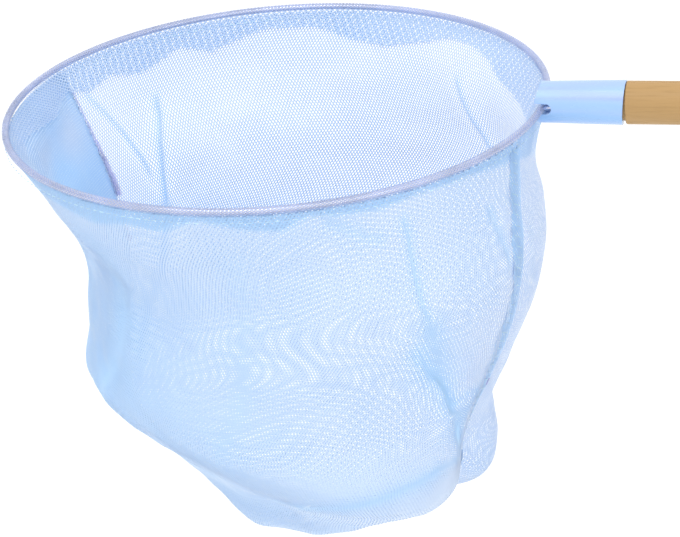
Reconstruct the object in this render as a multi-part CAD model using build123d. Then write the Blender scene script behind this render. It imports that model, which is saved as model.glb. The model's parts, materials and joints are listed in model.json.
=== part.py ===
"""Aquarium dip net: a wire hoop with a sewn net bag, socketed on a wooden pole.

Millimetres, +Z up. The pole runs along X through the origin, which is the middle of its
bare length. The hoop lies in the XY plane at the pole's -X end and the bag hangs below it.
"""

import os
from math import atan2, cos, radians, sin, sqrt

from build123d import *

# Pole
POLE_DIA = 18.0
POLE_BARE_LENGTH = 400.0
POLE_BUTT_ROUND = 3.0
POLE_SHOULDER_CHAMFER = 0.3
SPIGOT_DIA = 15.0
SPIGOT_CHAMFER = 1.0

# Socket sleeve, a short plastic hose
SLEEVE_LENGTH = 37.2
SLEEVE_NOSE_DIA = 17.3
SLEEVE_MOUTH_DIA = 18.7
SLEEVE_NOSE_ROUND = 20.0
SLEEVE_MOUTH_BIAS = 4.5
SLEEVE_OVERLAP = 3.0
SHOULDER_GAP = 0.2
SPIGOT_CLEARANCE = 0.05
SPIGOT_NOSE_ROOM = 10.4
SLOT_CLEARANCE = 0.7

# Hoop wire
HOOP_RADIUS = 115.0
WIRE_DIA = 2.5
TAIL_BEND_RADIUS = 4.5
HOOK_BEND_RADIUS = 2.5
HOOK_SETBACK = 8.0
HOOK_TIP_GAP = 3.0
HOOK_HOLE_CLEARANCE = 0.3
WIRE_CLEARANCE = 0.1

# Hem sewn round the wire
CASING_WALL = 0.35
CASING_TAIL = 1.5
FLAP_DEPTH = 12.0
FLAP_THICKNESS = 0.6
THREAD_DIA = 0.5
THREAD_DROP = 3.0
THREAD_END_ANGLE = 8.0

# Net bag
BAG_DEPTH = 196.0
NET_THICKNESS = 1.0
# Hung shape from its top to its bottom: the share of the depth, and then, as shares of the hoop's
# radius, how far the bag reaches to the seam beside the pole, to the far seam, to the front and to
# the back. The last two say how far the front and the back lean towards the pole as they swell.
BAG_RIBS = (
    (0.00, 1.00, 1.00, 1.00, 1.00, 0.00, 0.00),
    (0.13, 0.99, 0.90, 0.92, 0.92, 0.08, -0.10),
    (0.28, 0.97, 0.82, 0.87, 0.90, 0.18, 0.00),
    (0.43, 0.92, 0.77, 0.90, 0.90, 0.10, 0.04),
    (0.58, 0.82, 0.81, 0.90, 0.83, 0.18, 0.04),
    (0.72, 0.74, 0.83, 0.72, 0.71, 0.60, 0.08),
    (0.83, 0.63, 0.83, 0.48, 0.56, 0.75, 0.35),
    (0.92, 0.42, 0.71, 0.30, 0.41, 0.85, 0.35),
    (0.97, 0.25, 0.50, 0.24, 0.26, 0.80, 0.30),
    (1.00, 0.11, 0.22, 0.13, 0.12, 0.70, 0.30),
)
RIB_ANGLES = (0, 30, 60, 90, 120, 150, 180)
SEAM_TURN = -18.5
SEAM_WIDTH = 3.6
SEAM_RISE = 0.8
SEAM_START_DROP = 8.0
CLOTH_GAP = 0.3

# Places worked out from the sizes above
spigot_radius = SPIGOT_DIA / 2
bore_radius = spigot_radius + SPIGOT_CLEARANCE
wire_radius = WIRE_DIA / 2
casing_bore_radius = wire_radius + WIRE_CLEARANCE
casing_radius = casing_bore_radius + CASING_WALL
spigot_length = SLEEVE_LENGTH + SHOULDER_GAP - SPIGOT_NOSE_ROOM
shoulder_x = -POLE_BARE_LENGTH / 2
butt_x = POLE_BARE_LENGTH / 2
mouth_x = shoulder_x - SHOULDER_GAP
nose_x = mouth_x - SLEEVE_LENGTH
hoop_x = nose_x + SLEEVE_OVERLAP - HOOP_RADIUS
hook_x = shoulder_x - HOOK_SETBACK
tail_y = bore_radius - casing_radius - WIRE_CLEARANCE
bend_y = tail_y + TAIL_BEND_RADIUS
bend_x = sqrt((HOOP_RADIUS + TAIL_BEND_RADIUS) ** 2 - bend_y**2)
bend_angle = atan2(bend_y, bend_x)
bag_top = -(casing_radius + CLOTH_GAP)
hem_thread_z = bag_top - THREAD_DROP


def along_x(radius, start, end):
    """A cylinder about the pole's axis."""
    return Pos((start + end) / 2, 0, 0) * Rot(0, 90, 0) * Cylinder(radius, end - start)


def block(low, high):
    """A box from its lowest to its highest corner."""
    size = [b - a for a, b in zip(low, high)]
    middle = [(a + b) / 2 for a, b in zip(low, high)]
    return Pos(*middle) * Box(*size)


def opposite(point):
    """The same point on the other side of the pole."""
    return point[0], -point[1]


def arc_between(start, centre, end):
    """The short arc about a centre, as a three point arc."""
    radius = sqrt((start[0] - centre[0]) ** 2 + (start[1] - centre[1]) ** 2)
    out = (start[0] + end[0] - 2 * centre[0], start[1] + end[1] - 2 * centre[1])
    scale = radius / sqrt(out[0] ** 2 + out[1] ** 2)
    middle = (centre[0] + out[0] * scale, centre[1] + out[1] * scale)
    return ThreePointArc(start, middle, end)


# The wire's route on the +Y side, from the tail to the ring
tail_point = (hoop_x + bend_x, tail_y)
bend_centre = (hoop_x + bend_x, bend_y)
ring_point = (hoop_x + HOOP_RADIUS * cos(bend_angle), HOOP_RADIUS * sin(bend_angle))
ring_far = (hoop_x - HOOP_RADIUS, 0)
hook_top = (hook_x - HOOK_BEND_RADIUS, tail_y)
hook_side = (hook_x, tail_y - HOOK_BEND_RADIUS)
hook_centre = (hook_x - HOOK_BEND_RADIUS, tail_y - HOOK_BEND_RADIUS)
hook_tip = (hook_x, HOOK_TIP_GAP / 2)


def tail_edges(side):
    """Hook and straight tail on one side, 1 for +Y and -1 for -Y."""
    tip, low, top, centre, end = [
        (x, side * y) for x, y in (hook_tip, hook_side, hook_top, hook_centre, tail_point)
    ]
    return [Line(tip, low), arc_between(low, centre, top), Line(top, end)]


def ring_edges():
    """The ring with the bend at each of its ends."""
    far_bend = [opposite(point) for point in (ring_point, bend_centre, tail_point)]
    return [
        arc_between(tail_point, bend_centre, ring_point),
        ThreePointArc(ring_point, ring_far, opposite(ring_point)),
        arc_between(*far_bend),
    ]


def rod(edges, radius):
    """A round rod swept along joined edges."""
    path = Wire(edges)
    section = Plane(path @ 0, z_dir=path % 0) * Circle(radius)
    return sweep(section, path=path)


def make_hoop_wire():
    """One bent wire: hook, tail, ring, tail, hook."""
    return rod(tail_edges(1) + ring_edges() + tail_edges(-1)[::-1], wire_radius)


def make_pole():
    """Wooden pole with a turned spigot, grooved and drilled for the wire's ends."""
    pole = along_x(POLE_DIA / 2, shoulder_x, butt_x)
    pole = fillet(pole.edges().group_by(Axis.X)[-1], POLE_BUTT_ROUND)
    pole = chamfer(pole.edges().group_by(Axis.X)[0], POLE_SHOULDER_CHAMFER)
    spigot = along_x(spigot_radius, shoulder_x - spigot_length, shoulder_x)
    spigot = chamfer(spigot.edges().group_by(Axis.X)[0], SPIGOT_CHAMFER)
    pole += spigot
    groove_radius = wire_radius + WIRE_CLEARANCE
    groove_end = hook_x + groove_radius
    for side in (1, -1):
        pole -= rod(tail_edges(side), groove_radius)
        low_y, high_y = sorted((side * tail_y, side * POLE_DIA))
        pole -= block(
            (tail_point[0], low_y, -groove_radius), (groove_end, high_y, groove_radius)
        )
    hole_radius = wire_radius + HOOK_HOLE_CLEARANCE
    return pole - Pos(hook_x, 0, 0) * Rot(90, 0, 0) * Cylinder(hole_radius, 2 * tail_y)


def make_socket_sleeve():
    """Hose over the spigot: rounded nose, a slot each side for the hoop, mouth cut on a bias."""
    tube = Pos((nose_x + mouth_x) / 2, 0, 0) * Rot(0, 90, 0) * Cone(
        SLEEVE_NOSE_DIA / 2, SLEEVE_MOUTH_DIA / 2, SLEEVE_LENGTH
    )
    tube -= along_x(bore_radius, nose_x - SLEEVE_LENGTH, mouth_x + SLEEVE_LENGTH)
    reach = SLEEVE_MOUTH_DIA
    nose = Pos(nose_x + SLEEVE_NOSE_ROUND, 0, 0) * Rot(90, 0, 0) * Cylinder(
        SLEEVE_NOSE_ROUND, 2 * reach
    )
    nose_end = nose_x + SLEEVE_NOSE_ROUND
    tube &= nose + block((nose_end, -reach, -reach), (mouth_x + reach, reach, reach))
    slot_half = casing_radius + SLOT_CLEARANCE
    slot_round_x = hoop_x + bend_x - slot_half
    slot = block((nose_x - reach, -reach, -slot_half), (slot_round_x, reach, slot_half))
    slot += Pos(slot_round_x, 0, 0) * Rot(90, 0, 0) * Cylinder(slot_half, 2 * reach)
    tube -= slot
    cut_drop = SLEEVE_MOUTH_DIA / 2
    trim = Pos(mouth_x, 0, cut_drop) * Rot(0, SLEEVE_MOUTH_BIAS, 0) * block(
        (0, -reach, -2 * reach), (reach, reach, reach)
    )
    return tube - trim


def make_rim_casing():
    """Net folded round the wire, from one slot of the sleeve to the other."""

    def tube_core(radius, tail):
        end = (tail_point[0] + tail, tail_y)
        far_tail = Line(opposite(tail_point), opposite(end))
        return rod([Line(end, tail_point), *ring_edges(), far_tail], radius)

    return tube_core(casing_radius, CASING_TAIL) - tube_core(casing_bore_radius, 2 * CASING_TAIL)


def rib_side(right, left, reach, lean, side):
    """Half of a rib from seam to seam, swelling to +Y for a side of 1 and to -Y for -1."""
    points = []
    for angle in RIB_ANGLES:
        along = right if angle < 90 else left
        out = reach * sin(radians(angle))
        points.append((along * cos(radians(angle)) + lean * out, side * out))
    ends = [(lean, side), (-lean, -side)]
    return Spline(*points, tangents=ends, tangent_scalars=(1, 1))


def bag_rib(rib, inset):
    """The bag's outline at a rib, drawn in by an inset."""
    share, *reaches, front_lean, back_lean = rib
    right, left, front, back = [HOOP_RADIUS * reach - inset for reach in reaches]
    outline = Wire([
        rib_side(right, left, back, back_lean, 1),
        rib_side(right, left, front, front_lean, -1),
    ])
    drop = (BAG_DEPTH - inset) * share
    return Pos(hoop_x, 0, bag_top - drop) * Rot(0, 0, SEAM_TURN) * Face(outline)


def bag_form(inset):
    """The bag's filled form, drawn in by an inset at its sides and its bottom."""
    return loft([bag_rib(rib, inset) for rib in BAG_RIBS], ruled=True)


def seam_side(start, end):
    """The space between two distances from the seam's upright plane, measured towards +Y."""
    reach = 2 * (HOOP_RADIUS + BAG_DEPTH)
    slab = block((-reach, start, -reach), (reach, end, reach))
    return Pos(hoop_x, 0, 0) * Rot(0, 0, SEAM_TURN) * slab


def sleeve_room():
    """The notch that the net's edge leaves for the sleeve's nose."""
    room = SLEEVE_MOUTH_DIA / 2 + CLOTH_GAP
    return along_x(room, nose_x - SLEEVE_NOSE_DIA, mouth_x)


def make_bag_pieces():
    """Front panel, back panel and the U shaped seam between them."""
    reach = 2 * (HOOP_RADIUS + BAG_DEPTH)
    hollow = bag_form(NET_THICKNESS)
    outside = bag_form(0)
    wall = outside - hollow - sleeve_room()
    half = SEAM_WIDTH / 2
    front = wall & seam_side(-reach, -half)
    back = wall & seam_side(half, reach)
    raised = bag_form(-SEAM_RISE) & block(
        (-reach, -reach, -reach), (reach, reach, bag_top - SEAM_START_DROP)
    )
    seam = (outside + raised) & seam_side(-half, half)
    return front, back, seam - hollow - sleeve_room()


def make_hem_flap():
    """Free edge of the folded hem, hanging inside the bag's top."""
    reach = 2 * HOOP_RADIUS
    outer_inset = NET_THICKNESS + CLOTH_GAP
    band = bag_form(outer_inset) - bag_form(outer_inset + FLAP_THICKNESS)
    top = block(
        (hoop_x - reach, -reach, bag_top - FLAP_DEPTH), (hoop_x + reach, reach, bag_top)
    )
    return (band & top) - sleeve_room()


def make_hem_thread():
    """Sewing thread that closes the hem, on the outside of the bag."""
    radius = HOOP_RADIUS + THREAD_DIA / 2 + CLOTH_GAP
    start, end = [
        (hoop_x + radius * cos(radians(a)), radius * sin(radians(a)))
        for a in (THREAD_END_ANGLE, -THREAD_END_ANGLE)
    ]
    ring = ThreePointArc(start, (hoop_x - radius, 0), end)
    return Pos(0, 0, hem_thread_z) * rod([ring], THREAD_DIA / 2)


def main():
    front_panel, back_panel, bag_seam = make_bag_pieces()
    pieces = {
        "pole": make_pole(),
        "socket_sleeve": make_socket_sleeve(),
        "hoop_wire": make_hoop_wire(),
        "rim_casing": make_rim_casing(),
        "hem_flap": make_hem_flap(),
        "hem_thread": make_hem_thread(),
        "front_panel": front_panel,
        "back_panel": back_panel,
        "bag_seam": bag_seam,
    }
    os.makedirs("parts", exist_ok=True)
    for name, piece in pieces.items():
        export_step(piece, f"parts/{name}.step")
        print(f"{name}: {piece.volume:.0f} mm3")
    print(f"hoop centre at x {hoop_x:.2f} mm, bag top at z {bag_top:.2f} mm")


main()
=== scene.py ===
"""Dresses an aquarium fish net: open knitted net, sewn hem and seam, plastic sleeve and wooden pole.

The modelling functions work in millimetres from the hoop's centre, with X along the pole and Z up.
A finished mesh is moved into the frame's metres, and its object stays at the origin.
"""

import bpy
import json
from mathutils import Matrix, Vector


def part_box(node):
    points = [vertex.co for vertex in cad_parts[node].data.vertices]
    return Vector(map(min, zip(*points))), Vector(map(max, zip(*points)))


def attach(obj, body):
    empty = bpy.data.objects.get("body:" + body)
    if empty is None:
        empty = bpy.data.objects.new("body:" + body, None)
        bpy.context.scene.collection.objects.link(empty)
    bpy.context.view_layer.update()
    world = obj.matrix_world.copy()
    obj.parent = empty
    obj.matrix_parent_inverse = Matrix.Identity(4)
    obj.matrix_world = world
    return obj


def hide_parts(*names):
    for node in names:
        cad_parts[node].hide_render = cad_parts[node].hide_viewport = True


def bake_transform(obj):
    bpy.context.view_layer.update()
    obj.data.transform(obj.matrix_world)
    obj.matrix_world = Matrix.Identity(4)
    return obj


bl_info = {
    "name": "Aquarium fish net",
    "version": (1, 0, 0),
    "blender": (4, 5, 0),
    "location": "View3D > Sidebar > Fish Net",
    "description": "Builds the looks of an aquarium fish net around its CAD frame",
    "category": "Object",
}

import functools
import json
import math

import bmesh
import bpy
import numpy as np
from bpy.props import FloatProperty, FloatVectorProperty, PointerProperty
from mathutils import Matrix, Vector, noise

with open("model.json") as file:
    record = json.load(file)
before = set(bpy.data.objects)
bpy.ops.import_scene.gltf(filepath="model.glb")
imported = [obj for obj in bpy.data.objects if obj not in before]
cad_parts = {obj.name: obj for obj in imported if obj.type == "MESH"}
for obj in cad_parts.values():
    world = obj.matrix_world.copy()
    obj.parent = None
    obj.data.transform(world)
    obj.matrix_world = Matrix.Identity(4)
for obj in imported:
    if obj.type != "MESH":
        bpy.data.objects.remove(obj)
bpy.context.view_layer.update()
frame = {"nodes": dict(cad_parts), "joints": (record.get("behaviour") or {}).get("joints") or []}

MM = 0.001

# Least length that something is divided by.
TINY = 1e-9

HOOP_CENTRE = Vector(frame["joints"][0]["pos_m"]) / MM
WIRE_RADIUS = 1.25
HOOP_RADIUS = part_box("hoop_wire")[1].y / MM - WIRE_RADIUS

RIGID_BODY = "hoop_and_pole"

# The bag's seams lie a little off the pole's line, turned about the upright axis.
SEAM_TURN = math.radians(-18.5)
SEAM_WAY = np.array([math.cos(SEAM_TURN), math.sin(SEAM_TURN), 0])
SIDE_WAY = np.array([-math.sin(SEAM_TURN), math.cos(SEAM_TURN), 0])

# Hung shape of the bag, in millimetres: the drop below the hoop, how far the bag reaches there to the
# right seam, to the left seam, forwards and backwards, and then how far the front's and the back's
# middle is dragged towards the right seam, as a share of its reach.
BAG_RIBS = (
    (2, 115, 115, 115, 115, 0, 0),
    (28, 114, 104, 106, 106, 0.08, -0.1),
    (56, 114, 94, 100, 103, 0.18, 0),
    (86, 107, 89, 103, 103, 0.1, 0.04),
    (116, 94, 93, 103, 96, 0.18, 0.04),
    (143, 81, 96, 83, 82, 0.6, 0.08),
    (164, 74, 96, 55, 64, 0.75, 0.35),
    (181, 49, 82, 35, 47, 0.85, 0.35),
    (191, 30, 60, 28, 31, 0.8, 0.3),
    (197, 15, 31, 18, 16, 0.7, 0.3),
    (199, 0, 0, 0, 0, 0.7, 0.3),
)

# Grid of each side of the bag: levels from rim to bottom, and columns from seam to seam.
LEVELS = 161
COLUMNS = 121

# Distance from the rim and the seams, and angle from a seam, within which the net is held in place.
EDGE_HOLD = 9
SEAM_HOLD_ANGLE = 7

# Crumples of the slack net: how wide the large and the small ones are, the small ones' share, how
# fast they grow from the seams, and the drop from which they are full.
CRUMPLE_SPAN = 34
SMALL_CRUMPLE_SPAN = 13
SMALL_CRUMPLE_SHARE = 0.45
CRUMPLE_GROWTH = 0.6
CRUMPLE_FULL_DROP = 40

# Cells to spare round a flat net before it is trimmed, and the share of a mesh over which a strand feels
# for the way that the net lies.
SPARE_CELLS = 4
FEELER = 0.2

# Name of the value that says how tightly a net's points are gathered, from 0 to 1, which sets how much
# painted shade deepens the yarn's colour there.
GATHER_SHADE_NAME = "gathered"

# Places of the two colours and the mixed one among a Mix node's sockets.
FIRST_COLOUR, SECOND_COLOUR, MIXED_COLOUR = 6, 7, 2

# Pockets where the slack net swells out or is drawn in: side, angle from the right seam, drop, how far
# that spreads as an angle and as a drop, and how far it is pushed to the right, to its own side and down.
POCKETS = (
    ("back", 16, 169, 17, 14, 6, 0, 7),
    ("front", 100, 194, 30, 8, 0, 5, 0),
    ("front", 122, 194, 26, 7, -7, 3, 3),
    ("front", 150, 118, 20, 20, -3.5, 3, 0),
    ("front", 163, 13, 22, 9, 3, -4, 0),
)

# Where slack net hangs in fine gathers: side, angle from the right seam, drop, how far that spreads
# as an angle and as a drop, and how much more net hangs there than a smooth bag would need.
# The same amount of extra net also sets how much painted shade deepens the yarn's colour there.
GATHERS = (
    ("front", 168, 25, 28, 50, 0.75),
    ("front", 165, 120, 30, 60, 0.3),
    ("front", 130, 110, 52, 95, 0.5),
    ("back", 172, 125, 30, 55, 0.6),
)

# Patches of the gathers that hang open, where painted shade is taken away so that they look paler, in the
# same terms.
PALE_PATCHES = (
    ("front", 172, 25, 8, 13, 1),
    ("front", 155, 22, 8, 8, 0.7),
)

# How much painted shade deepens the yarn's colour for each share of extra net, for each share that a crease
# gathers, and where the hem's free edge doubles the net.
GATHER_DEPTH = 1.3
CREASE_DEPTH = 1.4
HEM_DEPTH = 0.85

# Height over which the doubled net ends at the free edge of the hem.
HEM_FADE = 1.5

# Creases in the hung net: points as an angle from the right seam and a drop, then how far a crease
# gathers the net from, how hard it gathers it, and how high it stands.
# How hard a crease gathers the net also sets how much painted shade lies along it.
CREASES = {
    "front": (
        (((34, 8), (34, 21), (35, 32), (37, 51), (35, 62)), 3, 0.4, 0.5),
        (((37, 51), (34, 66), (26, 90), (22, 103), (16, 118), (17, 136)), 9, 0.45, 0.6),
        (((41, 67), (35, 79), (30, 89), (22, 102), (16, 120)), 5, 0.4, 0.4),
        (((22, 102), (16, 108), (10, 111), (3, 116)), 3, 0.35, 0.3),
        (((12, 20), (11, 28), (8, 43), (6, 56)), 4, 0.35, 0.5),
        (((2, 116), (8, 120), (13, 127), (15, 135), (17, 146)), 6, 0.45, 0.2),
        (((15, 148), (22, 139), (30, 135), (48, 135), (70, 138), (82, 141), (95, 147), (110, 162)),
         5, 0.45, 0.2),
        (((50, 5), (46, 12), (43, 16), (38, 22)), 4, 0.25, 0.4),
        (((66, 12), (74, 37), (78, 64), (76, 95), (90, 125)), 8, 0.12, 0.3),
        (((104, 20), (114, 57), (114, 80), (130, 110), (156, 144)), 14, 0.2, 0.6),
    ),
    "back": (
        (((177, 12), (172, 26), (169, 37), (167, 51), (166, 63)), 3, 0.4, 0.5),
        (((154, 24), (156, 36), (160, 47), (163, 62), (165, 76)), 4.5, 0.45, 0.7),
        (((164, 68), (167, 88), (168, 106), (172, 121), (176, 142), (178, 162)), 10, 0.5, 0.8),
        (((70, 20), (67, 29), (65, 38), (63, 51), (58, 62)), 4, 0.35, 0.6),
    ),
}

# Share of a crease's length over which it fades at each end, and share of its reach that stands up.
CREASE_TAPER = 1 / 7
CREST_SHARE = 0.5

# Width of the doubled edges along the seam, from the rim by the pole at 0 to the far rim at 1.
SEAM_WIDTHS = ((0, 4), (0.06, 8), (0.3, 8), (0.4, 6), (0.52, 4.5), (0.62, 2.6), (0.8, 1.3), (1, 1))

# Bars of darker thread on the seam, by the drop of their ends and their width: on the far side, and then
# by the pole.
FAR_BARS = (
    (12, 26, 0.8), (26, 34, 1.4), (34, 42, 2.2), (42, 50, 3), (50, 60, 3.8), (62, 79, 0.8), (79, 82, 2.4),
)
NEAR_BARS = ((115, 118, 1.6),)

# Free lower edge of the hem inside the mouth: degrees round the hoop from the pole, and its drop.
HEM_EDGE = (
    (0, 22), (12, 23), (22, 19), (38, 16), (44, 11), (52, 8), (60, 8), (67, 12), (77, 16), (86, 14), (93, 9),
    (106, 8), (113, 11), (120, 15), (128, 10), (139, 17), (148, 12), (155, 15), (163, 10), (175, 13),
    (195, 8), (210, 14), (228, 12), (240, 14), (250, 10), (258, 11), (268, 4), (275, 8), (284, 10), (290, 4),
    (298, 6), (304, 7), (313, 4), (325, 5), (340, 10), (360, 22),
)


def length_setting(name, description, millimetres):
    return FloatProperty(name=name, description=description, default=millimetres * MM, unit="LENGTH")


def angle_setting(name, description, degrees):
    return FloatProperty(
        name=name, description=description, default=math.radians(degrees), subtype="ANGLE")


def colour_setting(name, description, colour):
    return FloatVectorProperty(
        name=name, description=description, default=colour, subtype="COLOR", min=0, max=1)


class NetSizes(bpy.types.PropertyGroup):
    """Sizes of the knitted net and its sewing."""

    mesh_width: length_setting("Mesh width", "Distance between knots along a row", 1.5)
    row_height: length_setting("Row height", "Distance between rows of knots", 1.26)
    strand: length_setting("Strand", "Width of one strand of the net", 0.52)
    front_strand: length_setting(
        "Front strand", "Width of one strand of the front net, which hangs looser", 0.65)
    strand_rise: length_setting("Strand rise", "Height between the strands that cross", 0.12)
    crumple: length_setting("Crumple", "How far the slack net wanders from a smooth bag", 2.2)
    seam_height: length_setting(
        "Seam height", "How far the doubled edges along the bag's seam ruffle", 0.5)
    thread: length_setting("Thread", "Thickness of the sewing thread", 0.42)
    stitch: length_setting("Stitch", "Length of one stitch round the hem", 2.6)
    hem_drop: length_setting("Hem drop", "From the wire's middle down to the hem's stitches", 4.6)


class NetColours(bpy.types.PropertyGroup):
    """Colours of the net, the handle and their sewing."""

    yarn: colour_setting("Yarn", "Colour of the net's yarn", (0.57, 0.72, 0.95))
    yarn_pale: colour_setting(
        "Pale yarn", "Colour of the net's yarn where it is worn", (0.62, 0.75, 0.96))
    # Painted shade: the deeper colour that the yarn is given where the net is gathered, creased or doubled
    # by the hem, in place of the shade among its packed strands.
    yarn_gather_shade: colour_setting(
        "Gathered yarn", "Colour of the net's yarn where it lies in gathers", (0.44, 0.69, 1.0))
    # Painted shade: this darker, greyer yarn colour on the rim's net stands in for the shade along the
    # wire's upper and lower edges.
    rim_shade_colour: colour_setting(
        "Rim yarn", "Colour of the net where the rim has rubbed it grey", (0.46, 0.55, 0.82))
    tack: colour_setting("Tack", "Colour of the thread that bars the seam", (0.42, 0.44, 0.78))
    thread: colour_setting("Thread", "Colour of the sewing thread", (0.55, 0.76, 1.0))
    wire: colour_setting("Wire", "Colour of the plated hoop wire", (0.82, 0.82, 0.90))
    sleeve: colour_setting("Sleeve", "Colour of the plastic sleeve", (0.37, 0.55, 0.90))
    wood: colour_setting("Wood", "Main colour of the pole's wood", (0.52, 0.32, 0.13))


class StageSizes(bpy.types.PropertyGroup):
    """Camera and light of the studio."""

    distance: length_setting("Distance", "From the camera to the point it is aimed at", 1100)
    azimuth: angle_setting("Azimuth", "How far the camera is turned round towards the pole", 14.9)
    elevation: angle_setting("Elevation", "How far the camera looks down on the hoop", 25.35)
    roll: angle_setting("Roll", "How far the camera leans about its own axis", -5.1)
    lens: FloatProperty(
        name="Lens", description="Focal length of the camera", default=133.5, subtype="DISTANCE_CAMERA")
    floor_drop: length_setting("Floor drop", "How far the floor lies below the hoop", 620)
    daylight: FloatProperty(
        name="Daylight", description="Strength of the even light from all round", default=1)


class Finish:
    """A node material that is being put together, with its Principled shader."""

    def __init__(self, name):
        self.material = bpy.data.materials.new(name)
        self.material.use_nodes = True
        self.tree = self.material.node_tree
        self.shader = self.tree.nodes["Principled BSDF"]
        self.place = self.tree.nodes.new("ShaderNodeTexCoord").outputs["Object"]

    def join(self, output, node, socket):
        self.tree.links.new(output, node.inputs[socket])

    def set(self, **values):
        """Sets or joins the shader's own sockets, with underscores for the spaces in their names."""
        for name, value in values.items():
            socket = name.replace("_", " ")
            if isinstance(value, bpy.types.NodeSocket):
                self.join(value, self.shader, socket)
            else:
                self.shader.inputs[socket].default_value = value

    def stretched(self, scale):
        """Object coordinates, scaled."""
        mapping = self.tree.nodes.new("ShaderNodeMapping")
        mapping.inputs["Scale"].default_value = scale
        self.join(self.place, mapping, "Vector")
        return mapping.outputs["Vector"]

    def noise(self, scale, detail=3, stretch=(1, 1, 1), distortion=0):
        """A soft noise value over the surface."""
        node = self.tree.nodes.new("ShaderNodeTexNoise")
        node.inputs["Scale"].default_value = scale
        node.inputs["Detail"].default_value = detail
        node.inputs["Distortion"].default_value = distortion
        self.join(self.stretched(stretch), node, "Vector")
        return node.outputs["Fac"]

    def ramp(self, value, *stops):
        """A colour or grey for each value, from stops of a position and a colour."""
        node = self.tree.nodes.new("ShaderNodeValToRGB")
        while len(node.color_ramp.elements) < len(stops):
            node.color_ramp.elements.new(0.5)
        for element, (position, colour) in zip(node.color_ramp.elements, stops):
            element.position = position
            element.color = (*colour, 1)
        self.join(value, node, "Fac")
        return node.outputs["Color"]

    def attribute(self, name):
        """A value that a piece carries on its points."""
        node = self.tree.nodes.new("ShaderNodeAttribute")
        node.attribute_name = name
        return node.outputs["Fac"]

    def mixed(self, share, first, second):
        """Two colours, mixed by a value."""
        node = self.tree.nodes.new("ShaderNodeMix")
        node.data_type = "RGBA"
        self.join(share, node, "Factor")
        self.join(first, node, FIRST_COLOUR)
        self.join(second, node, SECOND_COLOUR)
        return node.outputs[MIXED_COLOUR]

    def bump(self, height, strength, distance):
        """Relief from a height value, with the distance in millimetres."""
        node = self.tree.nodes.new("ShaderNodeBump")
        node.inputs["Strength"].default_value = strength
        node.inputs["Distance"].default_value = distance * MM
        self.join(height, node, "Height")
        self.join(node.outputs["Normal"], self.shader, "Normal")


def grey(level):
    return (level, level, level)


def tinted(colour, factor):
    """A colour made lighter or darker."""
    return tuple(min(1, channel * factor) for channel in colour)


def yarn_finish(name, light, deep, gathered):
    """Twisted nylon yarn: uneven dye, painted shade that deepens its colour in gathers, a slight sheen and a
    fine twist.
    """
    finish = Finish(name)
    dye = finish.noise(scale=34, detail=4)
    spread = finish.ramp(dye, (0.35, deep), (0.65, light))
    # Painted shade for gathered net, mixed in by the gathered value.
    shaded_in_gathers = finish.ramp(dye, (0.35, tinted(gathered, 0.96)), (0.65, gathered))
    shades = finish.mixed(finish.attribute(GATHER_SHADE_NAME), spread, shaded_in_gathers)
    finish.set(Base_Color=shades)
    wear = finish.noise(scale=90, detail=2)
    finish.set(Roughness=finish.ramp(wear, (0.3, grey(0.38)), (0.7, grey(0.6))))
    finish.bump(finish.noise(scale=2600, detail=2), strength=0.35, distance=0.05)
    finish.set(Sheen_Weight=0.15, Sheen_Roughness=0.4, Specular_IOR_Level=0.35)
    return finish.material


def thread_finish(name, colour):
    """Spun sewing thread: matt, with a coarse twist."""
    finish = Finish(name)
    dye = finish.noise(scale=160, detail=3)
    shades = finish.ramp(dye, (0.35, tinted(colour, 0.8)), (0.65, tinted(colour, 1.15)))
    finish.set(Base_Color=shades)
    finish.bump(finish.noise(scale=3200, detail=2), strength=0.5, distance=0.06)
    finish.set(Roughness=0.7, Sheen_Weight=0.2)
    return finish.material


def wire_finish(name, colour):
    """Bright plated spring wire with fine drawing marks."""
    finish = Finish(name)
    plating = finish.noise(scale=120, detail=4)
    shades = finish.ramp(plating, (0.3, tinted(colour, 0.86)), (0.7, tinted(colour, 1.1)))
    finish.set(Base_Color=shades)
    drawn = finish.noise(scale=700, detail=3)
    finish.set(Roughness=finish.ramp(drawn, (0.3, grey(0.22)), (0.7, grey(0.4))))
    finish.bump(drawn, strength=0.15, distance=0.03)
    finish.set(Metallic=1.0)
    return finish.material


def sleeve_finish(name, colour):
    """Soft hose plastic: lengthwise streaks of a cool and a warm tone, partly the plastic's uneven colour
    and partly a painted highlight band and painted shade along the tube, with flow lines and handling marks.
    """
    finish = Finish(name)
    warm = (colour[0] * 1.1, colour[1] * 0.96, colour[2])
    cool = (colour[0] * 0.93, colour[1] * 1.05, min(1, colour[2] * 1.03))
    # Painted highlight and shade: the lengthwise streaks give paler and deeper bands that stand in for the
    # tube's highlight and its shaded edges, on top of its uneven tint.
    streaks_and_light_bands = finish.noise(scale=150, detail=2, stretch=(0.05, 1, 1))
    cloud = finish.noise(scale=70, detail=3, stretch=(0.6, 1, 1), distortion=0.4)
    tints_and_light_bands = finish.ramp(streaks_and_light_bands, (0.35, cool), (0.5, tinted(colour, 1.06)), (0.66, tinted(warm, 0.96)))
    pale = finish.ramp(streaks_and_light_bands, (0.3, tinted(cool, 1.06)), (0.7, tinted(warm, 1.05)))
    share = finish.ramp(cloud, (0.4, grey(0.0)), (0.75, grey(0.7)))
    finish.set(Base_Color=finish.mixed(share, tints_and_light_bands, pale))
    rubbed = finish.noise(scale=260, detail=5, stretch=(0.35, 1, 1))
    finish.set(Roughness=finish.ramp(rubbed, (0.3, grey(0.2)), (0.75, grey(0.36))))
    flow = finish.noise(scale=420, detail=2, stretch=(0.06, 1, 1))
    finish.bump(flow, strength=0.12, distance=0.12)
    finish.set(Coat_Weight=0.3, Coat_Roughness=0.15, Specular_IOR_Level=0.5)
    return finish.material


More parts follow.
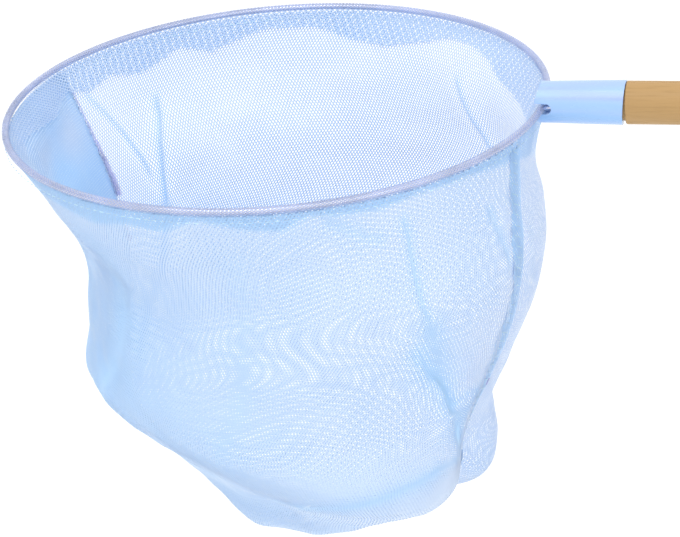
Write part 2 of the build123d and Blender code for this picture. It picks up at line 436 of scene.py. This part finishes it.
def wood_finish(name, colour):
    """Turned, lightly oiled softwood: long soft grain and fine pores."""
    finish = Finish(name)
    grain = finish.noise(scale=110, detail=4, stretch=(0.05, 1, 1), distortion=0.5)
    bands = finish.ramp(
        grain, (0.25, tinted(colour, 0.84)), (0.5, colour), (0.75, tinted(colour, 1.18)))
    pores = finish.noise(scale=1300, detail=3, stretch=(0.06, 1, 1))
    dark = finish.ramp(pores, (0.0, tinted(colour, 0.62)), (1.0, tinted(colour, 0.8)))
    share = finish.ramp(pores, (0.3, grey(0.35)), (0.5, grey(0.0)))
    finish.set(Base_Color=finish.mixed(share, bands, dark))
    finish.set(Roughness=finish.ramp(pores, (0.3, grey(0.62)), (0.6, grey(0.45))))
    finish.bump(pores, strength=0.25, distance=0.1)
    finish.set(Specular_IOR_Level=0.4)
    return finish.material


def between_ribs():
    """The ribs' values at even steps from the rim to the bottom, eased from rib to rib."""
    ribs = np.array(BAG_RIBS, float)
    slopes = np.gradient(ribs, axis=0)
    steps = np.linspace(0, len(ribs) - 1, LEVELS)
    rib = np.minimum(steps.astype(int), len(ribs) - 2)
    t = (steps - rib)[:, None]
    return ((2 * t**3 - 3 * t**2 + 1) * ribs[rib] + (t**3 - 2 * t**2 + t) * slopes[rib]
            + (3 * t**2 - 2 * t**3) * ribs[rib + 1] + (t**3 - t**2) * slopes[rib + 1])


def bell(distance):
    """1 at no distance, and falling off smoothly to about a third at a distance of 1."""
    return np.exp(-np.square(distance))


def on_grid(grid, rows, columns):
    """Values of a grid at fractional rows and columns, which are kept just inside its last cell."""
    row = np.clip(rows, 0, grid.shape[0] - 1.001)
    column = np.clip(columns, 0, grid.shape[1] - 1.001)
    i, j = row.astype(int), column.astype(int)
    down, across = (row - i)[:, None], (column - j)[:, None]
    upper = grid[i, j] * (1 - across) + grid[i, j + 1] * across
    lower = grid[i + 1, j] * (1 - across) + grid[i + 1, j + 1] * across
    return upper * (1 - down) + lower * down


def to_path(points, path):
    """From each point to the nearest point of a path: the way there, and a share that fades at its ends."""
    lengths = np.linalg.norm(np.diff(path, axis=0), axis=1)
    starts = np.concatenate([[0], np.cumsum(lengths)])
    nearest = np.full(len(points), np.inf)
    way = np.zeros_like(points)
    along = np.zeros(len(points))
    for start, end, length, before in zip(path, path[1:], lengths, starts):
        run = (end - start) / length
        reach = np.clip((points - start) @ run, 0, length)
        offset = start + reach[:, None] * run - points
        distance = np.linalg.norm(offset, axis=1)
        closer = distance < nearest
        nearest[closer] = distance[closer]
        way[closer] = offset[closer]
        along[closer] = (before + reach[closer]) / starts[-1]
    fade = np.clip(np.minimum(along, 1 - along) / CREASE_TAPER, 0, 1)
    return way, fade * fade * (3 - 2 * fade)


class BagSide:
    """One U shaped side of the hung bag, as a grid of points from rim to bottom and seam to seam."""

    def __init__(self, side, crumple):
        self.side = side
        self.outward = -SIDE_WAY if side == "front" else SIDE_WAY
        # seen from outside, the front's right seam is on the right and the back's is on the left
        self.hand = 1 if side == "front" else -1
        self.drop, right, left, front, back, front_drag, back_drag = between_ribs().T
        reach, drag = (front, front_drag) if side == "front" else (back, back_drag)
        angle = np.linspace(0, math.pi, COLUMNS)
        to_seam = np.where(np.cos(angle) > 0, right[:, None], left[:, None]) * np.cos(angle)
        to_side = reach[:, None] * np.sin(angle)
        along = to_seam + drag[:, None] * to_side
        points = along[..., None] * SEAM_WAY + to_side[..., None] * self.outward
        points[..., 2] -= self.drop[:, None]
        degrees = np.degrees(angle)
        self.swell(points, degrees)
        self.spread_evenly(points, 1 + self.spots(GATHERS, (degrees[1:] + degrees[:-1]) / 2))
        # Painted shade: a share that gives the yarn a deeper colour where the net is gathered or doubled by
        # the hem, and less of it in the pale patches.
        shade_share = GATHER_DEPTH * self.spots(GATHERS, degrees) - self.spots(PALE_PATCHES, degrees)
        shade_share += HEM_DEPTH * self.doubled(degrees)
        self.shade_share = self.at_even_steps(np.clip(shade_share, 0, 1)[..., None])
        self.wrinkle(crumple)

    def swell(self, points, angle):
        """Pushes the pockets out, and leaves the seams where they are."""
        free = 1 - bell(np.minimum(angle, 180 - angle) / SEAM_HOLD_ANGLE)
        for side, middle, drop, wide, tall, right, out, down in POCKETS:
            if side == self.side:
                share = bell((angle - middle) / wide) * free * bell((self.drop - drop) / tall)[:, None]
                push = right * SEAM_WAY + out * self.outward - np.array([0, 0, down])
                points += share[..., None] * push

    def spots(self, table, angle):
        """Sum of a table's spots on this side, for each level and angle."""
        total = np.zeros((LEVELS, len(angle)))
        for side, middle, drop, wide, tall, amount in table:
            if side == self.side:
                total += amount * bell((angle - middle) / wide) * bell((self.drop - drop) / tall)[:, None]
        return total

    def doubled(self, angle):
        """1 where the hem's free edge hangs behind the net, and 0 below it, for each level and angle."""
        round_hoop = (math.degrees(SEAM_TURN) - self.hand * angle) % 360
        edge = np.interp(round_hoop, *np.array(HEM_EDGE, float).T)
        return np.clip(0.5 + (edge - self.drop[:, None]) / HEM_FADE, 0, 1)

    def spread_evenly(self, points, slack):
        """Spreads the net evenly over each level, and measures the flat cut of the side."""
        runs = np.linalg.norm(np.diff(points, axis=1), axis=2) * slack
        arcs = np.concatenate([np.zeros((LEVELS, 1)), np.cumsum(runs, axis=1)], axis=1)
        self.half_width = arcs[:, -1] / 2
        self.arc_share = arcs / np.maximum(arcs[:, -1:], TINY)
        self.arc_share[-1] = self.arc_share[-2]
        self.points = self.at_even_steps(points)
        falls = np.linalg.norm(np.diff(self.points, axis=0), axis=2).mean(axis=1)
        self.down = np.concatenate([[0], np.cumsum(falls)])
        self.length = self.down[-1]

    def at_even_steps(self, grid):
        """A grid's values at even steps along the net of each level."""
        even = np.linspace(0, 1, COLUMNS)
        return np.array([
            np.stack([np.interp(even, share, values) for values in level.T], axis=1)
            for share, level in zip(self.arc_share, grid)])

    def wrinkle(self, crumple):
        """Moves the slack net in and out a little, away from the rim and the seams."""
        self.aim_normals()
        across = np.sin(np.linspace(0, math.pi, COLUMNS)) ** CRUMPLE_GROWTH
        hung = np.clip((self.drop - self.drop[0]) / CRUMPLE_FULL_DROP, 0, 1)
        for i in range(LEVELS):
            for j in range(COLUMNS):
                place = Vector(self.points[i, j])
                wander = noise.noise(place / CRUMPLE_SPAN)
                wander += SMALL_CRUMPLE_SHARE * noise.noise(place / SMALL_CRUMPLE_SPAN)
                self.points[i, j] += self.normals[i, j] * (crumple * wander * across[j] * hung[i])
        self.aim_normals()

    def aim_normals(self):
        """Directions square to the net, out of the bag."""
        normals = np.cross(np.gradient(self.points, axis=0), np.gradient(self.points, axis=1))
        normals *= self.hand
        self.normals = normals / np.maximum(np.linalg.norm(normals, axis=2, keepdims=True), TINY)

    def flat_point(self, angle, drop):
        """Where an angle and a drop lie on the flat cut, across and down."""
        level = int(round(np.interp(drop, self.drop, np.arange(LEVELS))))
        share = np.interp(angle / 180, np.linspace(0, 1, COLUMNS), self.arc_share[level])
        return self.hand * (1 - 2 * share) * self.half_width[level], -self.down[level]

    def inside(self, across, down):
        """Whether a flat point lies on the cut."""
        return -self.length < down < 0 and abs(across) < np.interp(-down, self.down, self.half_width)

    def gathered(self, flat):
        """How tightly the net is gathered at points of the flat cut, with its creases, from 0 to 1: the
        share of painted shade there.
        """
        level, column = self.on_cut(flat)
        shade_share = on_grid(self.shade_share, level, column)[:, 0]
        for way, spread, pull, rise in self.creases(flat):
            shade_share = shade_share + CREASE_DEPTH * pull * bell(spread)
        return np.clip(shade_share, 0, 1)

    def creases(self, flat):
        """For each crease, at points of the flat cut: the ways to it, how far off it is as a share of its
        reach, how hard it pulls and how high it stands."""
        for points, reach, gather, rise in CREASES[self.side]:
            path = np.array([self.flat_point(*point) for point in points])
            way, fade = to_path(flat, path)
            yield way, np.linalg.norm(way, axis=1) / reach, gather * fade, rise * fade

    def on_cut(self, flat):
        """The level and the column of the side's grid at points of the flat cut."""
        level = np.interp(-flat[:, 1], self.down, np.arange(LEVELS))
        half = np.maximum(np.interp(level, np.arange(LEVELS), self.half_width), TINY)
        share = np.clip(self.hand * flat[:, 0] / half, -1, 1)
        return level, (1 - share) / 2 * (COLUMNS - 1)

    def hang(self, flat):
        """Takes points of the flat cut to the hung bag, gathered along its creases."""
        shift = np.zeros_like(flat)
        lift = np.zeros(len(flat))
        width = np.interp(-flat[:, 1], self.down, self.half_width)
        to_edge = np.minimum(width - np.abs(flat[:, 0]), -flat[:, 1])
        loose = np.clip(to_edge / EDGE_HOLD, 0, 1)
        for way, spread, pull, rise in self.creases(flat):
            shift += way * (loose * pull * bell(spread))[:, None]
            lift += loose * rise * bell(spread / CREST_SHARE)
        level, column = self.on_cut(flat + shift)
        return on_grid(self.points, level, column) + on_grid(self.normals, level, column) * lift[:, None]


def diamond_net(width, height, mesh_width, row_height):
    """A flat net of diamond cells across X, which hangs down from Y = 0, knitted in squarish lengths."""
    bm = bmesh.new()
    pairs = math.ceil(min(width, height) / (2 * row_height))
    length = 2 * pairs * row_height
    cells = 2 * math.ceil((width / mesh_width + pairs) / 2) + SPARE_CELLS
    bmesh.ops.create_grid(bm, x_segments=cells, y_segments=cells, size=cells / 2)
    slant = Matrix((
        (mesh_width / 2, -mesh_width / 2, 0, 0),
        (row_height, row_height, 0, (row_height - length) / 2),
        (0, 0, 1, 0),
        (0, 0, 0, 1)))
    bmesh.ops.transform(bm, matrix=slant, verts=bm.verts)
    trim_net(bm, lambda across, down: abs(across) < width / 2 + mesh_width and -length < down < 0)
    first = bm.faces[:]
    for turn in range(1, math.ceil(height / length)):
        copy = bmesh.ops.duplicate(bm, geom=first)["geom"]
        knots = [each for each in copy if isinstance(each, bmesh.types.BMVert)]
        bmesh.ops.translate(bm, vec=(0, -turn * length, 0), verts=knots)
    bmesh.ops.remove_doubles(bm, verts=bm.verts, dist=row_height / 100)
    return bm


def trim_net(bm, inside):
    """Keeps the cells whose middle lies inside the cut."""
    cut_off = [face for face in bm.faces if not inside(*face.calc_center_median().xy)]
    bmesh.ops.delete(bm, geom=cut_off, context="FACES")


def unit(vectors):
    return vectors / np.maximum(np.linalg.norm(vectors, axis=1, keepdims=True), TINY)


def evenly(level):
    """A gathered value, the share of painted shade, that is the same all over a net."""
    return lambda flat: np.full(len(flat), level)


def lay_strands(cells, place, gathered, mesh_width, row_height, strand, rise):
    """Lays two crossing sets of flat strands along a flat net's cells, where place takes its points."""
    net = bmesh.new()
    net.verts.layers.float.new(GATHER_SHADE_NAME)
    for lean in (1, -1):
        lines = cells.copy()
        shade_share = lines.verts.layers.float.new(GATHER_SHADE_NAME)
        bmesh.ops.delete(lines, geom=lines.faces[:], context="FACES_ONLY")
        crossing = [edge for edge in lines.edges if lean * slope(edge) < 0]
        bmesh.ops.delete(lines, geom=crossing, context="EDGES")
        near = lines.verts[:]
        grown = bmesh.ops.extrude_edge_only(lines, edges=lines.edges[:])["geom"]
        far = [each for each in grown if isinstance(each, bmesh.types.BMVert)]
        along = FEELER * np.array([mesh_width / 2, lean * row_height])
        across = FEELER * np.array([mesh_width / 2, -lean * row_height])
        facing = {}
        for knots, hand in ((near, -1), (far, 1)):
            flat = np.array([knot.co.xy for knot in knots])
            run = unit(place(flat + along) - place(flat - along))
            outward = unit(-lean * np.cross(run, place(flat + across) - place(flat - across)))
            sideways = unit(np.cross(outward, run)) * hand * strand / 2
            points = place(flat) + sideways + outward * lean * rise / 2
            # Each knot carries its share of painted shade.
            for knot, point, way, share in zip(knots, points, outward, gathered(flat)):
                knot.co = point
                knot[shade_share] = share
                facing[knot] = Vector(way)
        lines.normal_update()
        inward = [face for face in lines.faces if face.normal.dot(facing[face.verts[0]]) < 0]
        bmesh.ops.reverse_faces(lines, faces=inward)
        add_to(net, lines)
    cells.free()
    return net


def slope(edge):
    """Whether a flat net's edge climbs or falls along X."""
    run = edge.verts[1].co - edge.verts[0].co
    return run.x * run.y


def add_to(bm, other):
    """Moves another bmesh into a bmesh."""
    mesh = bpy.data.meshes.new("moved")
    other.to_mesh(mesh)
    other.free()
    bm.from_mesh(mesh)
    bpy.data.meshes.remove(mesh)


def add_stitch(bm, middle, along, outward, length, thickness):
    """One stitch, as a grain of thread."""
    along, outward = Vector(along).normalized(), Vector(outward).normalized()
    across = outward.cross(along).normalized()
    turn = Matrix((along, across, along.cross(across))).transposed().to_4x4()
    size = Matrix.Diagonal((length / 2, thickness / 2, thickness / 2, 1))
    bmesh.ops.create_uvsphere(
        bm, u_segments=6, v_segments=5, radius=1,
        matrix=Matrix.Translation(Vector(middle)) @ turn @ size)


def finished_piece(bm, name, material, slot, *nodes):
    """Makes a piece from a bmesh in millimetres, which stands for some CAD nodes."""
    bm.transform(Matrix.Translation(HOOP_CENTRE * MM) @ Matrix.Scale(MM, 4))
    mesh = bpy.data.meshes.new(name)
    bm.to_mesh(mesh)
    bm.free()
    mesh.shade_smooth()
    mesh.materials.append(material)
    piece = bpy.data.objects.new(name, mesh)
    bpy.context.scene.collection.objects.link(piece)
    if nodes:
        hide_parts(*nodes)
    return piece


def swing_with_bag(piece):
    """Moves a piece's placement into its mesh."""
    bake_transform(piece)


def paint_node(node, material):
    """Gives a CAD node its finish."""
    materials = frame["nodes"][node].data.materials
    materials.clear()
    materials.append(material)


def white_where_seen(tree, unseen, seen):
    """A strength for what the camera and reflections see, and another for the light on the object."""
    rays = tree.nodes.new("ShaderNodeLightPath")
    direct = rays.outputs["Is Camera Ray"]
    for kind in ("Is Glossy Ray", "Is Transmission Ray"):
        either = tree.nodes.new("ShaderNodeMath")
        either.operation = "MAXIMUM"
        tree.links.new(direct, either.inputs[0])
        tree.links.new(rays.outputs[kind], either.inputs[1])
        direct = either.outputs[0]
    strength = tree.nodes.new("ShaderNodeMapRange")
    strength.inputs["To Min"].default_value = unseen
    strength.inputs["To Max"].default_value = seen
    tree.links.new(direct, strength.inputs["Value"])
    return strength.outputs["Result"]


def sizes():
    return bpy.context.scene.fish_net_sizes


def colours():
    return bpy.context.scene.fish_net_colours


def knit(width, length, inside, place, gathered, mesh_width, row_height, strand):
    """A net cut to shape from a flat piece, with its strands laid where place takes its points."""
    cells = diamond_net(width, length, mesh_width, row_height)
    trim_net(cells, inside)
    return lay_strands(cells, place, gathered, mesh_width, row_height, strand, sizes().strand_rise / MM)


def bag_yarn():
    """The net's yarn finish, made once."""
    name = "pale_blue_yarn"
    made = bpy.data.materials.get(name)
    return made or yarn_finish(
        name, tuple(colours().yarn_pale), tuple(colours().yarn), tuple(colours().yarn_gather_shade))


@functools.cache
def bag_sides():
    """The front and the back of the hung bag, worked out once."""
    return [BagSide(side, sizes().crumple / MM) for side in ("front", "back")]


@functools.cache
def bag_reach():
    """How far the bag reaches from the hoop's axis, by level and by degree round the hoop."""
    rows = []
    for halves in zip(*[side.points for side in bag_sides()]):
        ring = np.concatenate(halves)
        turn = np.degrees(np.arctan2(ring[:, 1], ring[:, 0]))
        rows.append(np.interp(np.arange(361), turn, np.hypot(ring[:, 0], ring[:, 1]), period=360))
    return np.array(rows)[..., None]


def along_seam(right, left):
    """Values of the right seam from rim to bottom, and then of the left seam back up to the rim."""
    return np.concatenate([right, left[-2::-1]])


def seam_path(front, back):
    """The seam from the rim by the pole, under the bag and up the far side: its line and length so far."""
    right = (front.points[:, 0] + back.points[:, 0]) / 2
    left = (front.points[:, -1] + back.points[:, -1]) / 2
    line = along_seam(right, left)
    runs = np.linalg.norm(np.diff(line, axis=0), axis=1)
    return line, np.concatenate([[0], np.cumsum(runs)])


def from_seam(side, columns=3):
    """The ways from the seam onto one side of the bag, taken over its first few columns."""
    points = side.points
    right = points[:, columns] - points[:, 0]
    left = points[:, -1 - columns] - points[:, -1]
    return unit(along_seam(right, left))


class FISHNET_OT_bag_panels(bpy.types.Operator):
    """Build the front and back net panels of the bag"""

    bl_idname = "fishnet.bag_panels"
    bl_label = "Bag panels"

    def execute(self, context):
        size = sizes()
        for side in bag_sides():
            width = 2 * side.half_width.max()
            strand = size.front_strand if side.side == "front" else size.strand
            net = knit(width, side.length, side.inside, side.hang, side.gathered,
                       size.mesh_width / MM, size.row_height / MM, strand / MM)
            node = side.side + "_panel"
            piece = finished_piece(net, side.side + "_net", bag_yarn(), "bag_net", node)
            swing_with_bag(piece)
        return {"FINISHED"}


class FISHNET_OT_bag_seam(bpy.types.Operator):
    """Build the doubled seam of the bag, its overcast stitches and its bars of darker thread"""

    bl_idname = "fishnet.bag_seam"
    bl_label = "Bag seam"

    mesh_width = 1.3
    row_height = 1.1
    strand = 0.5
    # Share of painted shade that deepens the yarn colour of the seam's net.
    shade_share = 1
    top_drop = 4
    gap = 0.5
    ruffle_span = 3.1
    # how much the doubled edges' width wavers, as a share, and over what distance
    wavers = ((0.16, 6.3), (0.1, 2.7))
    most_waver = 1.3
    stitch_pitch = 4.6
    stitch_lean = 0.6
    stitch_lift = 1.5
    bar_pitch = 0.55
    bar_lean = 0.15
    bag_middle = np.array([0, 0, -90])

    def execute(self, context):
        self.follow_seam()
        self.lay_edges()
        self.overcast()
        self.bar_ends()
        return {"FINISHED"}

    def lay_edges(self):
        """The doubled edges, as a ruffled strip of net."""
        height = sizes().seam_height / MM
        length = self.run[-1] - 2 * self.top_drop
        widest = self.most_waver * max(width for share, width in SEAM_WIDTHS)

        def inside(across, down):
            width = self.width_at(self.top_drop - down)
            return -length < down < 0 and across + widest / 2 < width

        def lie(flat):
            place = self.top_drop - flat[:, 1]
            over = flat[:, 0] + widest / 2
            ruffle = height * np.sin(place / self.ruffle_span + over) * over / widest
            reach = over[:, None] * self.at(self.lay, place)
            inward = np.cross(self.at(self.along, place), self.at(self.lay, place))
            outward = (self.gap + ruffle)[:, None] * -inward
            return self.at(self.line, place) + reach + outward

        net = knit(widest, length, inside, lie, evenly(self.shade_share),
                   self.mesh_width, self.row_height, self.strand)
        swing_with_bag(finished_piece(net, "seam_net", bag_yarn(), "seam_net", "bag_seam"))

    def overcast(self):
        """Slanted stitches over the doubled edges."""
        stitches = bmesh.new()
        for place in np.arange(self.top_drop, self.run[-1] - self.top_drop, self.stitch_pitch):
            self.sew(stitches, place, self.lay, self.width_at(place), self.stitch_lean)
        thread = thread_finish("seam_thread", tuple(colours().thread))
        swing_with_bag(finished_piece(stitches, "seam_stitches", thread, "sewing_thread"))

    def bar_ends(self):
        """Bars of close stitches in darker thread."""
        bars = bmesh.new()
        bottom_point = len(self.run) // 2
        near, far = slice(bottom_point + 1), slice(bottom_point, None)
        for part, bar_set in ((far, FAR_BARS), (near, NEAR_BARS)):
            drops, places = -self.line[part, 2], self.run[part]
            order = np.argsort(drops)
            for top, bottom, width in bar_set:
                ends = np.interp([top, bottom], drops[order], places[order])
                for place in np.arange(min(ends), max(ends), self.bar_pitch):
                    self.sew(bars, place, self.back_lay, width, self.bar_lean)
        tack = thread_finish("tack_thread", tuple(colours().tack))
        swing_with_bag(finished_piece(bars, "seam_tacks", tack, "sewing_thread"))

    def follow_seam(self):
        """The seam's line, its length so far, its way along, the way that its doubled edges lie, over the
        front on the sides and up into the bag at the bottom, and the way that its bars lie, on the back."""
        front, back = bag_sides()
        self.line, self.run = seam_path(front, back)
        self.along = unit(np.gradient(self.line, self.run, axis=0))
        level = 1 - np.abs(self.along[:, 2:])
        lay = from_seam(front) * (1 - level) + unit(self.bag_middle - self.line) * level
        self.lay = self.square_on(lay)
        self.back_lay = self.square_on(from_seam(back))

    def square_on(self, ways):
        """Ways turned square to the seam."""
        return unit(ways - (ways * self.along).sum(axis=1, keepdims=True) * self.along)

    def at(self, values, place):
        """Values of the seam at distances along it."""
        return np.stack([np.interp(place, self.run, values[:, axis]) for axis in range(3)], axis=-1)

    def width_at(self, place):
        """The uneven width of the seam's doubled edges."""
        shares, widths = np.array(SEAM_WIDTHS, float).T
        waver = 1 + sum(share * np.sin(place / span) for share, span in self.wavers)
        return np.interp(place / self.run[-1], shares, widths) * waver

    def sew(self, bm, place, ways, width, lean):
        """One stitch each side of the net, from the seam along the given ways, leaning along the seam."""
        thickness = sizes().thread / MM
        lay, along = self.at(ways, place), self.at(self.along, place)
        square = np.cross(along, lay)
        for side, lift in ((1, self.stitch_lift * thickness), (-1, 2 * self.gap)):
            point = self.at(self.line, place) + width / 2 * lay + side * lift * square
            add_stitch(bm, point, lay + side * lean * along, side * square, width, thickness)


class FISHNET_OT_rim(bpy.types.Operator):
    """Build the net that is folded round the hoop wire"""

    bl_idname = "fishnet.rim"
    bl_label = "Rim"

    mesh_width = 1.25
    row_height = 0.8
    strand = 0.3
    wrap_radius = 1.55
    wrap_from = math.radians(-65)
    wrap_to = math.radians(245)
    end_angle = math.radians(3)

    def execute(self, context):
        width = self.wrap_radius * (self.wrap_to - self.wrap_from)
        length = HOOP_RADIUS * (2 * math.pi - 2 * self.end_angle)

        def inside(across, down):
            return abs(across) < width / 2 and -length < down < 0

        def wrap(flat):
            angle = self.end_angle - flat[:, 1] / HOOP_RADIUS
            turn = (self.wrap_from + self.wrap_to) / 2 + flat[:, 0] / self.wrap_radius
            radius = HOOP_RADIUS + self.wrap_radius * np.cos(turn)
            level = self.wrap_radius * np.sin(turn)
            return np.stack([radius * np.cos(angle), radius * np.sin(angle), level], axis=1)

        net = knit(width, length, inside, wrap, evenly(0), self.mesh_width, self.row_height, self.strand)
        # Painted shade: the rim's net is given a darker, greyer yarn colour in place of the shade along the
        # wire's edges.
        rubbed = tuple(colours().rim_shade_colour)
        yarn = yarn_finish("rim_shade_yarn", tinted(rubbed, 1.12), tinted(rubbed, 0.92), rubbed)
        rim = finished_piece(net, "rim_net", yarn, "hem_net", "rim_casing")
        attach(rim, RIGID_BODY)
        paint_node("hoop_wire", wire_finish("plated_wire", tuple(colours().wire)))
        return {"FINISHED"}


class FISHNET_OT_hem(bpy.types.Operator):
    """Build the free edge of the hem inside the mouth, and the stitches below the wire"""

    bl_idname = "fishnet.hem"
    bl_label = "Hem"

    inset = 1.2
    top_drop = 1.2
    flare = 0.12
    # Share of painted shade that deepens the yarn colour of the hem flap's net.
    shade_share = 0.1
    # waves of the free edge: how far they swing, how many there are round the hoop, and their start
    waves = ((0.8, 23, 0), (0.48, 41, 1))
    end_angle = math.radians(5)
    stitch_gap = 0.9
    stitch_climb = 0.08
    outer_stitch = 0.9
    inner_stitch = -0.4 - inset

    def execute(self, context):
        self.hang_flap()
        self.sew_hem()
        return {"FINISHED"}

    def hang_flap(self):
        """The free edge, hung inside the bag."""
        size = sizes()
        length = HOOP_RADIUS * (2 * math.pi - 2 * self.end_angle)
        degrees, edges = np.array(HEM_EDGE, float).T
        depth = edges.max() - self.top_drop + 1

        def angle_of(down):
            return self.end_angle - down / HOOP_RADIUS

        def inside(across, down):
            if not -length < down < 0:
                return False
            edge = np.interp(math.degrees(angle_of(down)), degrees, edges)
            return -depth / 2 < across < edge - self.top_drop - depth / 2

        def hang(flat):
            angle = angle_of(flat[:, 1])
            fall = flat[:, 0] + depth / 2
            wave = sum(swing * np.sin(count * angle + start) for swing, count, start in self.waves)
            hung = HOOP_RADIUS - self.inset - fall * self.flare + wave * fall / depth
            level = np.interp(self.top_drop + fall, bag_sides()[0].drop, np.arange(LEVELS))
            inner = on_grid(bag_reach(), level, np.degrees(angle))[:, 0] - self.inset
            radius = np.minimum(hung, inner)
            return np.stack([radius * np.cos(angle), radius * np.sin(angle), -self.top_drop - fall], axis=1)

        net = knit(depth, length, inside, hang, evenly(self.shade_share),
                   size.mesh_width / MM, size.row_height / MM, size.strand / MM)
        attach(finished_piece(net, "hem_flap_net", bag_yarn(), "hem_net", "hem_flap"), RIGID_BODY)

    def sew_hem(self):
        """Stitches below the wire, outside and inside the hem."""
        size = sizes()
        stitches = bmesh.new()
        low = np.array([0, 0, -size.hem_drop / MM])
        pitch = (size.stitch / MM + self.stitch_gap) / HOOP_RADIUS
        for angle in np.arange(self.end_angle, 2 * math.pi - self.end_angle, pitch):
            out = np.array([math.cos(angle), math.sin(angle), 0])
            way = np.array([-math.sin(angle), math.cos(angle), self.stitch_climb])
            for offset in (self.outer_stitch, self.inner_stitch):
                point = (HOOP_RADIUS + offset) * out + low
                add_stitch(stitches, point, way, out, size.stitch / MM, size.thread / MM)
        thread = thread_finish("hem_thread_blue", tuple(colours().thread))
        sewing = finished_piece(stitches, "hem_stitches", thread, "sewing_thread", "hem_thread")
        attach(sewing, RIGID_BODY)


class FISHNET_OT_handle(bpy.types.Operator):
    """Finish the plastic sleeve and the wooden pole"""

    bl_idname = "fishnet.handle"
    bl_label = "Handle"

    def execute(self, context):
        paint_node("socket_sleeve", sleeve_finish("soft_blue_hose", tuple(colours().sleeve)))
        paint_node("pole", wood_finish("oiled_wood", tuple(colours().wood)))
        return {"FINISHED"}


class FISHNET_OT_stage(bpy.types.Operator):
    """Set up the white studio, its soft light and the camera"""

    bl_idname = "fishnet.stage"
    bl_label = "Stage"

    # where the camera is aimed, in millimetres from the hoop's centre
    aim = Vector((21.5, 0, -79.2))
    # soft boxes: name, place from the hoop's centre and size in metres, and power
    lamps = (
        ("key", (-0.2, -0.7, 1.6), 1.2, 8),
        ("fill", (1.3, -0.9, 0.7), 1.4, 2),
    )
    floor_size = 30
    floor_white = 0.95
    # what the camera sees of the floor on top of its lit colour, so that it is as white as the backdrop
    floor_glow = 0.16

    def execute(self, context):
        self.lay_floor(context)
        self.light_room(context)
        for lamp in self.lamps:
            self.add_lamp(context, *lamp)
        self.place_camera(context)
        context.scene.view_settings.view_transform = "Standard"
        return {"FINISHED"}

    def lay_floor(self, context):
        bm = bmesh.new()
        bmesh.ops.create_grid(bm, x_segments=1, y_segments=1, size=self.floor_size)
        drop = context.scene.fish_net_stage.floor_drop
        bmesh.ops.translate(bm, vec=(0, 0, -drop), verts=bm.verts)
        mesh = bpy.data.meshes.new("floor")
        bm.to_mesh(mesh)
        bm.free()
        finish = Finish("white_floor")
        finish.set(Base_Color=(*grey(self.floor_white), 1), Roughness=0.9, Specular_IOR_Level=0.0)
        finish.set(Emission_Color=(1, 1, 1, 1))
        seen = white_where_seen(finish.tree, 0, self.floor_glow)
        finish.set(Emission_Strength=seen)
        mesh.materials.append(finish.material)
        floor = bpy.data.objects.new("floor", mesh)
        context.scene.collection.objects.link(floor)

    def light_room(self, context):
        """Even daylight, with a white that the camera and reflections see."""
        world = bpy.data.worlds.new("studio")
        context.scene.world = world
        world.use_nodes = True
        tree = world.node_tree
        background = tree.nodes["Background"]
        background.inputs["Color"].default_value = (1, 1, 1, 1)
        seen = white_where_seen(tree, context.scene.fish_net_stage.daylight, 1)
        tree.links.new(seen, background.inputs["Strength"])

    def add_lamp(self, context, name, place, size, power):
        """A square soft box that faces the hoop."""
        lamp = bpy.data.lights.new(name, "AREA")
        lamp.size = size
        lamp.energy = power
        box = bpy.data.objects.new(name, lamp)
        centre = HOOP_CENTRE * MM
        box.location = centre + Vector(place)
        box.rotation_mode = "QUATERNION"
        box.rotation_quaternion = (centre - box.location).to_track_quat("-Z", "Y")
        context.scene.collection.objects.link(box)

    def place_camera(self, context):
        stage = context.scene.fish_net_stage
        back = Vector((
            math.sin(stage.azimuth) * math.cos(stage.elevation),
            -math.cos(stage.azimuth) * math.cos(stage.elevation),
            math.sin(stage.elevation)))
        level = Vector((0, 0, 1)).cross(back).normalized()
        upright = back.cross(level)
        right = level * math.cos(stage.roll) + upright * math.sin(stage.roll)
        up = back.cross(right)
        data = bpy.data.cameras.new("camera")
        data.lens = stage.lens
        camera = bpy.data.objects.new("camera", data)
        turn = Matrix((right, up, back)).transposed().to_4x4()
        place = (HOOP_CENTRE + self.aim) * MM + back * stage.distance
        camera.matrix_world = Matrix.Translation(place) @ turn
        context.scene.collection.objects.link(camera)
        context.scene.camera = camera


class FISHNET_PT_panel(bpy.types.Panel):
    """Lists the pieces of the fish net and their sizes"""

    bl_idname = "FISHNET_PT_panel"
    bl_label = "Fish Net"
    bl_space_type = "VIEW_3D"
    bl_region_type = "UI"
    bl_category = "Fish Net"

    def draw(self, context):
        column = self.layout.column()
        for operator in OPERATORS:
            column.operator(operator.bl_idname)
        for settings in SETTINGS:
            group = getattr(context.scene, settings)
            for name in group.bl_rna.properties.keys():
                if name not in ("rna_type", "name"):
                    column.prop(group, name)


OPERATORS = (
    FISHNET_OT_rim,
    FISHNET_OT_hem,
    FISHNET_OT_bag_seam,
    FISHNET_OT_bag_panels,
    FISHNET_OT_handle,
    FISHNET_OT_stage,
)
SETTINGS = {"fish_net_sizes": NetSizes, "fish_net_colours": NetColours, "fish_net_stage": StageSizes}
CLASSES = (*SETTINGS.values(), *OPERATORS, FISHNET_PT_panel)


def register():
    for each in CLASSES:
        bpy.utils.register_class(each)
    for settings, group in SETTINGS.items():
        setattr(bpy.types.Scene, settings, PointerProperty(type=group))


def unregister():
    for settings in SETTINGS:
        delattr(bpy.types.Scene, settings)
    for each in reversed(CLASSES):
        bpy.utils.unregister_class(each)


def main():
    register()
    bpy.ops.fishnet.rim()
    bpy.ops.fishnet.hem()
    bpy.ops.fishnet.bag_seam()
    bpy.ops.fishnet.bag_panels()
    bpy.ops.fishnet.handle()
    bpy.ops.fishnet.stage()
    bpy.context.view_layer.update()


if __name__ == "__main__":
    main()
